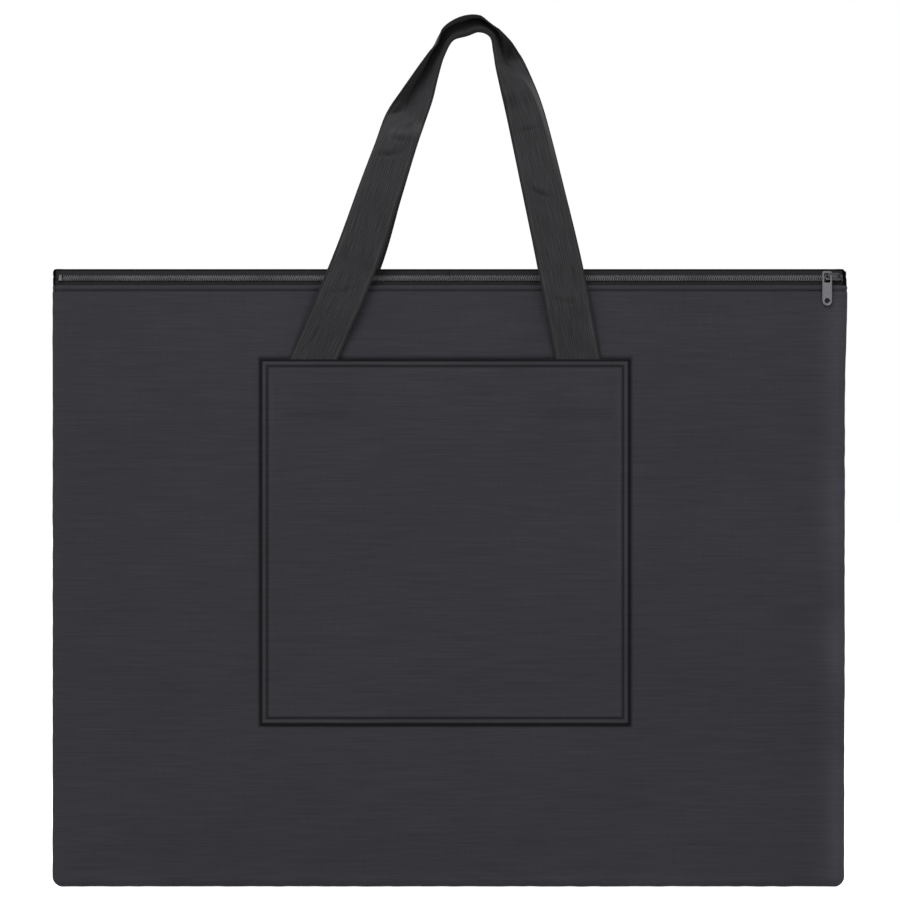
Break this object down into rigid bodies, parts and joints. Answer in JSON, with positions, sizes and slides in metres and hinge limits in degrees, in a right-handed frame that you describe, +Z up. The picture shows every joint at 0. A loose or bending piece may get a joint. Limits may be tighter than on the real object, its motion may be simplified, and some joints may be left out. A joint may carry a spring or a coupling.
{
  "type": "portfolio case",
  "caption": "Flat cloth portfolio case with a zip along the top, a patch pocket on the front and a webbing handle on each face.",
  "frame": {"origin": "middle of the case's bottom edge, on the seam between the front and the back, where it meets the surface it is stood on", "axes": "+Z up towards the zip and the handles, +X to the right seen from the front, -Y out of the front face that carries the pocket"},
  "size_m": [0.66, 0.026, 0.7257],
  "materials": {
    "canvas": "matt woven polyester, charcoal black",
    "webbing": "ribbed polypropylene webbing, slight sheen",
    "lining": "thin plain-woven lining",
    "board": "closed-cell polyethylene sheet",
    "binding": "narrow binding tape",
    "zip_tape": "fine herringbone tape",
    "zip_coil": "glossy nylon coil",
    "zip_metal": "dull grey plated zinc"
  },
  "bodies": {
    "front": {"front_panel": "canvas", "pocket_panel": "canvas", "front_board": "board", "front_lining": "lining", "seam_binding_left": "binding", "seam_binding_right": "binding", "seam_binding_bottom": "binding", "front_strap_end_left": "webbing", "front_strap_end_right": "webbing", "zipper_tape_front": "zip_tape", "zipper_coil_front": "zip_coil", "zipper_top_stop_front": "zip_metal", "zipper_bottom_stop": "zip_metal"},
    "back": {"back_panel": "canvas", "back_board": "board", "back_lining": "lining", "back_strap_end_left": "webbing", "back_strap_end_right": "webbing", "zipper_tape_back": "zip_tape", "zipper_coil_back": "zip_coil", "zipper_top_stop_back": "zip_metal"},
    "slider": {"slider_body": "zip_metal", "slider_bail": "zip_metal"},
    "pull": {"pull_tab": "zip_metal"},
    "front_handle": {"front_handle": "webbing"},
    "back_handle": {"back_handle": "webbing"}
  },
  "joints": [
    {"name": "zip_slide", "type": "slide", "parent": "front", "child": "slider", "axis": [-1, 0, 0], "range_m": [0, 0.626]},
    {"name": "mouth_open", "type": "hinge", "parent": "front", "child": "back", "pos_m": [0, 0, 0], "axis": [-1, 0, 0], "range_deg": [0, 8], "deforming": ["zipper_tape_back", "zipper_coil_back"]},
    {"name": "pull_swing", "type": "hinge", "parent": "slider", "child": "pull", "pos_m": [0.314, -0.0106, 0.5089], "axis": [0, -1, 0], "range_deg": [-70, 55]},
    {"name": "front_handle_fold", "type": "hinge", "parent": "front", "child": "front_handle", "pos_m": [0, -0.0115, 0.4392], "axis": [1, 0, 0], "range_deg": [0, 172]},
    {"name": "back_handle_fold", "type": "hinge", "parent": "back", "child": "back_handle", "pos_m": [0, 0.0109, 0.4392], "axis": [-1, 0, 0], "range_deg": [0, 174]}
  ],
  "couplings": [
    {"joint": "mouth_open", "follows": "zip_slide", "rad_per_m": 0.223}
  ]
}
